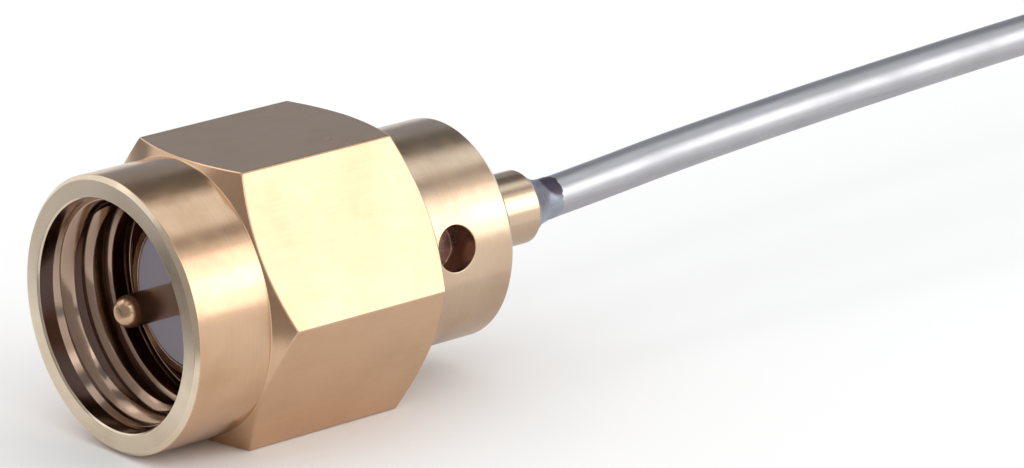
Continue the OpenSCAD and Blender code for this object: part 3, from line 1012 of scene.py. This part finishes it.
class PLUG_OT_shell(PlugOperator, bpy.types.Operator):
    """Turns the shell, from its spigot to its ferrule, and drills the solder hole"""

    bl_idname = "plug.shell"
    bl_label = "Shell"

    def build(self, plug):
        shell, finish = plug.shell, plug.finish
        edge = shell.edge
        fine = edge * 0.5
        rear, barrel = SHELL_BOX[1].x, SHELL_BOX[1].z
        barrel_rear = rear - shell.ferrule_length
        barrel_front = barrel_rear - shell.barrel_length
        seat = barrel_front + shell.seat_depth
        bore = plug.cable.jacket_radius + 0.03 * MM
        ring_front, ring_rear = RING_BOX[0].x - plug.nut.groove_play, RING_BOX[1].x
        # Rings along the barrel keep the faces short where the hole is cut
        bands = [(barrel_front + step * 0.2 * MM, barrel, 0) for step in range(1, 13)]
        corners = [
            (0, shell.bore_radius, fine),
            (0, shell.spigot_radius, edge),
            (shell.spigot_length, shell.spigot_radius, fine),
            (shell.spigot_length, shell.neck_radius, edge),
            (ring_front, shell.neck_radius, fine),
            (ring_front, shell.groove_radius, fine),
            (ring_rear, shell.groove_radius, fine),
            (ring_rear, shell.neck_radius, fine),
            (barrel_front, shell.neck_radius, fine),
            (barrel_front, barrel, edge * 1.5),
            *bands,
            (barrel_rear - shell.barrel_chamfer, barrel, edge),
            (barrel_rear, barrel - shell.barrel_chamfer, edge),
            (barrel_rear, shell.ferrule_radius, edge * 1.2),
            (rear, shell.ferrule_radius, edge * 1.5),
            (rear, bore, edge * 0.6),
            (seat, bore, fine),
            (seat, shell.bore_radius, fine),
        ]
        gold = plated_gold("gold_turned_shell", finish.shell_gold, (0.17, 0.28))
        piece = turned_piece("shell_body", corners, shell.columns, gold, closed=True)
        # The shell's second material is the darker bore gold, which is painted shade
        piece.data.materials.append(plated_gold("gold_shell_bore", finish.shaded_bore_gold, (0.2, 0.32)))
        self.drill(piece, shell, barrel)
        self.true_up(piece, barrel, barrel_front + edge * 3, barrel_rear - shell.barrel_chamfer - edge * 2)
        settle(piece, PLUG, "gold_plate_shell", "shell")

    def drill(self, piece, shell, barrel):
        """Cuts the solder hole with a drill that flares where it meets the barrel."""
        hole = SolderHole(shell)
        rim = shell.hole_rim
        sides, steps, proud, beyond = 72, 6, 0.002 * MM, 0.3 * MM
        # Radius of each row, the cylinder that it follows if any, and its height over that
        rows = [(shell.hole_radius, None, 0.0), (shell.hole_radius, barrel, -rim * 1.1)]
        for k in range(steps + 1):
            swing = math.pi / 2 * k / steps
            flare = shell.hole_radius + rim * (1 - math.cos(swing))
            rows.append((flare, barrel, proud - rim * (1 - math.sin(swing))))
        rows.append((shell.hole_radius + rim * 1.2, barrel, beyond))
        rings = [[hole.foot]]
        for radius, surface, shift in rows:
            ring = []
            for place, aside in hole.circle(radius, sides):
                height = math.sqrt(surface**2 - aside**2) + shift if surface else 0.0
                ring.append(place + hole.out * height)
            rings.append(ring)
        rings.append([hole.foot + hole.out * (barrel + beyond)])
        drill = lofted("drill", rings, *piece.data.materials)
        # The hole's wall takes the darker bore gold, which paints the shade inside the hole
        wall = barrel - rim * 1.6
        for polygon in drill.data.polygons:
            polygon.material_index = int((polygon.center - hole.foot).dot(hole.out) < wall)
        cut = piece.modifiers.new("Hole", "BOOLEAN")
        cut.operation, cut.solver, cut.object = "DIFFERENCE", "EXACT", drill
        bake(piece)
        bpy.data.objects.remove(drill)

    def true_up(self, piece, barrel, front, rear):
        """Round the hole, the barrel keeps the shading of a true cylinder."""
        near = 0.0015 * MM
        data = piece.data
        normals = [normal.vector.copy() for normal in data.corner_normals]
        for loop in data.loops:
            place = data.vertices[loop.vertex_index].co
            out = Vector((0, place.y, place.z))
            if front < place.x < rear and abs(out.length - barrel) < near:
                normals[loop.index] = out.normalized()
        data.normals_split_custom_set(normals)


class PLUG_OT_interior(PlugOperator, bpy.types.Operator):
    """Makes the insulator and the centre contact, and finishes the sealed ring and gasket"""

    bl_idname = "plug.interior"
    bl_label = "Insulator, contact, ring and gasket"

    def build(self, plug):
        self.insulator(plug.finish)
        self.contact(plug.finish)
        for node, material in (
            ("snap_ring", spring_copper("spring_copper")), ("gasket", moulded_silicone("silicone")),
        ):
            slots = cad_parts[node].data.materials
            slots.clear()
            slots.append(material)

    def insulator(self, finish):
        """A plug with a bore for the contact and a lip that holds it from behind."""
        rear, outer = INSULATOR_BOX[1].x, INSULATOR_BOX[1].z
        bore = PIN_BOX[1].z + 0.005 * MM
        lip, lip_bore = PIN_BOX[1].x, 0.5 * MM
        small = 0.03 * MM
        corners = [
            (0, bore, small), (0, outer, small * 2), (rear, outer, small), (rear, lip_bore, small),
            (lip, lip_bore, small), (lip, bore, small),
        ]
        # The insulator's darker grey is painted shade of the nut's mouth
        polymer = machined_polymer("fluoropolymer", finish.fluoropolymer, 0.004 * MM)
        piece = turned_piece("insulator_plug", corners, 144, polymer, closed=True)
        settle(piece, PLUG, "fluoropolymer", "insulator")

    def contact(self, finish):
        """A thick body with a pin whose nose is rounded, and a blind hole for the core behind."""
        pin, nose_end, nose_length = 0.46 * MM, 0.15 * MM, 0.45 * MM
        hole, hole_depth = 0.155 * MM, 1.6 * MM
        tip, rear, body = PIN_BOX[0].x, PIN_BOX[1].x, PIN_BOX[1].z
        small = 0.02 * MM
        steps = 12
        nose = [
            (tip + nose_length * (1 - math.cos(a)), nose_end + (pin - nose_end) * math.sin(a), 0)
            for a in (math.pi / 2 * k / steps for k in range(steps + 1))
        ]
        corners = [
            (tip, 0, 0), *nose, (0, pin, small), (0, body, small), (rear, body, 0.03 * MM),
            (rear, hole, small), (rear - hole_depth, hole, 0), (rear - hole_depth, 0, 0),
        ]
        gold = plated_gold("gold_contact", finish.nut_gold, (0.19, 0.29))
        settle(turned_piece("contact_pin", corners, 96, gold), PLUG, "gold_plate_contact", "centre_contact")


class PLUG_OT_solder(PlugOperator, bpy.types.Operator):
    """Makes the solder joint between ferrule and jacket, and the solder in the shell's hole"""

    bl_idname = "plug.solder"
    bl_label = "Solder"

    def build(self, plug):
        self.joint(plug)
        self.pool(plug)

    def joint(self, plug):
        """A hollow cone that runs out on the jacket, further below than above."""
        root = plug.shell.ferrule_radius - 0.05 * MM
        tip = plug.cable.jacket_radius + 0.014 * MM
        front, rear = FILLET_BOX[0].x - 0.03 * MM, FILLET_BOX[1].x
        film = 0.42 * MM
        # Angle from the top at which the cone runs furthest
        furthest = 2.4
        sides, rows, film_rows = 120, 30, 8
        rings = [[(front, 0, 0)]]
        for i in range(rows + film_rows + 1):
            t = min(i / rows, 1.0)
            beyond = max(i - rows, 0) / film_rows
            ring = []
            for k in range(sides):
                angle = math.tau * k / sides
                lean = 0.90 + 0.10 * math.cos(angle - furthest)
                along = min(t / lean, 1.0)
                hollow = (1 - math.sin(along * math.pi / 2)) * 0.75 + (1 - along) * 0.25
                radius = tip + (root - tip) * hollow
                ragged = 0.7 + 0.3 * noise.noise(spun(angle, 0, 2.0))
                ragged += 0.25 * noise.noise(spun(angle, 5, 5.0))
                x = front + (rear - front) * t + film * ragged * beyond
                lump = noise.noise(spun(angle, x, radius) * 2200.0) * 0.05 * MM * math.sin(math.pi * along)
                thin = 0.02 * MM * beyond**2
                rise = Vector((0, 0, 0.02 * MM * beyond))
                ring.append(spun(angle, x, radius + lump - thin) + rise)
            rings.append(ring)
        rings.append([(rear + film * 0.5, 0, 0)])
        # The spot round which the solder's colour is darkened as painted shade, where the cable leaves the
        # joint
        shade_spot = Vector((rear + 0.2 * MM, -0.28 * MM, 0.58 * MM))
        piece = lofted("solder_joint", rings, soft_solder("soft_solder", plug.finish, shade_spot))
        settle(piece, PLUG, "solder", "solder_fillet")

    def pool(self, plug):
        """Solder that has risen in the hole and wets its wall."""
        hole = SolderHole(plug.shell)
        wall, foot = plug.shell.hole_radius + 0.02 * MM, plug.cable.jacket_radius
        level, climb, rough = 1.75 * MM, 0.35 * MM, 0.06 * MM
        sides, rows = 64, 14

        def row(radius, height, unevenness):
            return [
                place + hole.out * (height + noise.noise(place * 1800.0) * unevenness)
                for place, _ in hole.circle(radius, sides)
            ]

        rings = [[hole.foot + hole.out * foot], row(wall, foot, 0)]
        for i in range(rows):
            inward = 1 - i / rows
            rings.append(row(wall * inward, level + climb * inward**3, rough))
        rings.append([hole.foot + hole.out * level])
        piece = lofted("solder_pool", rings, burnt_flux("burnt_flux", plug.finish.burnt_flux))
        settle(piece, PLUG, "solder")


class PLUG_PT_panel(bpy.types.Panel):
    bl_idname = "PLUG_PT_panel"
    bl_label = "Coaxial plug"
    bl_space_type = "VIEW_3D"
    bl_region_type = "UI"
    bl_category = "Plug"

    def draw(self, context):
        plug = context.scene.plug
        for group in ("nut", "thread", "shell", "cable", "finish", "studio"):
            box = self.layout.box()
            box.label(text=group.capitalize())
            settings = getattr(plug, group)
            for name in settings.__annotations__:
                box.prop(settings, name)
        for operator in OPERATORS:
            self.layout.operator(operator.bl_idname)


class PlugSettings(bpy.types.PropertyGroup):
    nut: PointerProperty(type=NutSettings)
    thread: PointerProperty(type=ThreadSettings)
    shell: PointerProperty(type=ShellSettings)
    cable: PointerProperty(type=CableSettings)
    finish: PointerProperty(type=FinishSettings)
    studio: PointerProperty(type=StudioSettings)


OPERATORS = (
    PLUG_OT_stage, PLUG_OT_cable, PLUG_OT_nut, PLUG_OT_thread, PLUG_OT_shell, PLUG_OT_interior,
    PLUG_OT_solder,
)
CLASSES = (
    NutSettings, ThreadSettings, ShellSettings, CableSettings, FinishSettings, StudioSettings, PlugSettings,
    *OPERATORS, PLUG_PT_panel,
)


def register():
    for cls in CLASSES:
        bpy.utils.register_class(cls)
    bpy.types.Scene.plug = PointerProperty(type=PlugSettings)


def unregister():
    del bpy.types.Scene.plug
    for cls in reversed(CLASSES):
        bpy.utils.unregister_class(cls)


def main():
    register()
    for operator in OPERATORS:
        group, name = operator.bl_idname.split(".")
        getattr(getattr(bpy.ops, group), name)()


if __name__ == "__main__":
    main()
